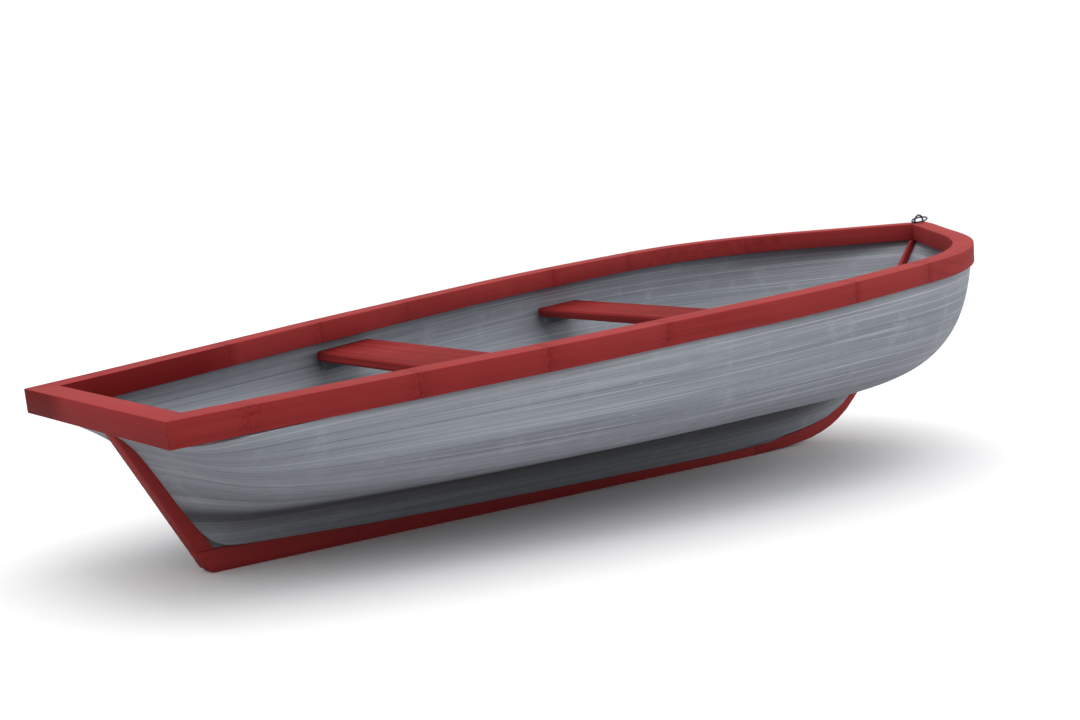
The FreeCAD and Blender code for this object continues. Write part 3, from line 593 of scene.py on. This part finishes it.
# One dark red serves both the smudges at the joints and the painted shade on the port quarter.
SMUDGE_AND_PAINTED_SHADE = (0.15, 0.006, 0.006)
SMUDGES = (0.21, 0.67, 1.071, 1.496, 2.327, 2.777)
SMUDGE_REACH = 0.05
PAINTED_SHADE_FORE = -1.2
PAINTED_SHADE_FULL = -1.45
SHADE_STREAK_SCALE = (26, 26, 2.5)
RAIL_EDGE = 0.0016


def rail_marks(flow, place, grit, colour):
    """Smudges at distances forward of the stern, and streaks of painted shade on the port quarter's
    upright faces.
    """
    fore = flow.node("SeparateXYZ", inputs={0: place}, output=0)
    port = flow.node("SeparateXYZ", inputs={0: place}, output=1)
    for smudge in SMUDGES:
        handled = flow.math("ABSOLUTE", fore - (smudge - HALF_LENGTH)).band(SMUDGE_REACH, 0.0)
        colour = (handled * grit.band(0.40, 0.62) * 0.5).mix(colour, shade(SMUDGE_AND_PAINTED_SHADE))
    # Painted shade: dark streaks on the upright faces of the rail's port quarter, where the boat shades
    # itself.
    laid = flow.node("Mapping", inputs={"Vector": place, "Scale": SHADE_STREAK_SCALE})
    shade_streaks = flow.node("TexNoise", {}, {"Vector": laid, "Scale": 1.0, "Detail": 3.0})
    upright = facing_up(flow).band(0.6, 0.3)
    reach = fore.band(PAINTED_SHADE_FORE, PAINTED_SHADE_FULL) * port.band(0.12, 0.30) * upright
    painted_port_shade = reach * (shade_streaks + reach * 0.35 - 0.1).band(0.42, 0.58)
    return (painted_port_shade * 0.9).mix(colour, shade(SMUDGE_AND_PAINTED_SHADE))


rail_paint = timber_paint("faded_red_rail_paint", base=(0.300, 0.031, 0.031),
                          dark=(0.245, 0.023, 0.023), scuffed=(0.44, 0.13, 0.125),
                          wear=0.30, roughness=0.62, marks=rail_marks)
RAIL_LENGTHS = ("quarter", "after", "waist", "midship", "forward", "shoulder", "bow")
for side in ("port", "starboard"):
    for length in RAIL_LENGTHS:
        timber_piece(f"{side}_rail_{length}", rail_paint, RAIL_EDGE)
timber_piece("stern_rail", rail_paint, RAIL_EDGE)

# ---------------------------------------------------------------- thwarts and cleats
# Two planed boards rest on slate grey cleats that follow the planking, and are screwed to them from
# below.  The cleats' grey is darker than the planking's, as painted shade under the thwarts.  The
# boards' edges are eased, and their tops are a deeper red than their edges, as painted shade.

BOARD_EDGE = 0.0006

# The top colour is painted shade on the thwarts' upper faces.
thwart_paint = timber_paint("thwart_red_paint", base=(0.29, 0.030, 0.030),
                            dark=(0.24, 0.023, 0.023), scuffed=(0.32, 0.07, 0.065),
                            wear=0.30, roughness=0.7, top=(0.115, 0.002, 0.002))
for name in ("aft", "fore"):
    timber_piece(f"{name}_thwart", thwart_paint, BOARD_EDGE)
    for side in ("port", "starboard"):
        timber_piece(f"{side}_{name}_thwart_cleat", inner_and_shade_paint, SAWN_EDGE)

# ---------------------------------------------------------------- fastenings
# Galvanised steel bolts go up through the keel and the hog, with their heads in recesses under the
# keel and square nuts on the hog.  Galvanised screws go up through the cleats into the thwarts.


def metal_paint(name, base, dark, roughness, metallic):
    """Dull metal with cloudy oxide and fine pitting."""
    paint, flow, shader = plain_paint(name)
    place = flow.node("TexCoord", output=3)
    clouds = flow.node("TexNoise", {}, {"Vector": place, "Scale": 90.0, "Detail": 5.0})
    pits = flow.node("TexNoise", {}, {"Vector": place, "Scale": 900.0, "Detail": 3.0})
    colour = clouds.band(0.35, 0.65).mix(shade(dark), shade(base))
    shader.inputs["Metallic"].default_value = metallic
    finish_paint(flow, shader, colour, clouds * 0.3 + (roughness - 0.15), pits * 0.6 + clouds,
                 depth=0.0003)
    return paint


def finish_metal(nodes, paint):
    """Gives CAD pieces their metal."""
    for node in nodes:
        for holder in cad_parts[node].material_slots:
            holder.material = paint


galvanised = metal_paint("dull_galvanised_steel", base=(0.42, 0.43, 0.44), dark=(0.24, 0.25, 0.26),
                         roughness=0.5, metallic=0.9)
finish_metal(("keel_bolts", "keel_bolt_nuts", "thwart_screws"), galvanised)

# ---------------------------------------------------------------- mooring staple and ring
# A staple of forged iron rod is driven down into the rail at the bow, and a ring of thinner rod
# hangs in it for the mooring line.  Both are black with age, with a slight blue bloom.

forged = metal_paint("forged_black_iron", base=(0.075, 0.090, 0.12), dark=(0.030, 0.036, 0.048),
                     roughness=0.48, metallic=0.7)
finish_metal(("mooring_staple", "mooring_ring"), forged)
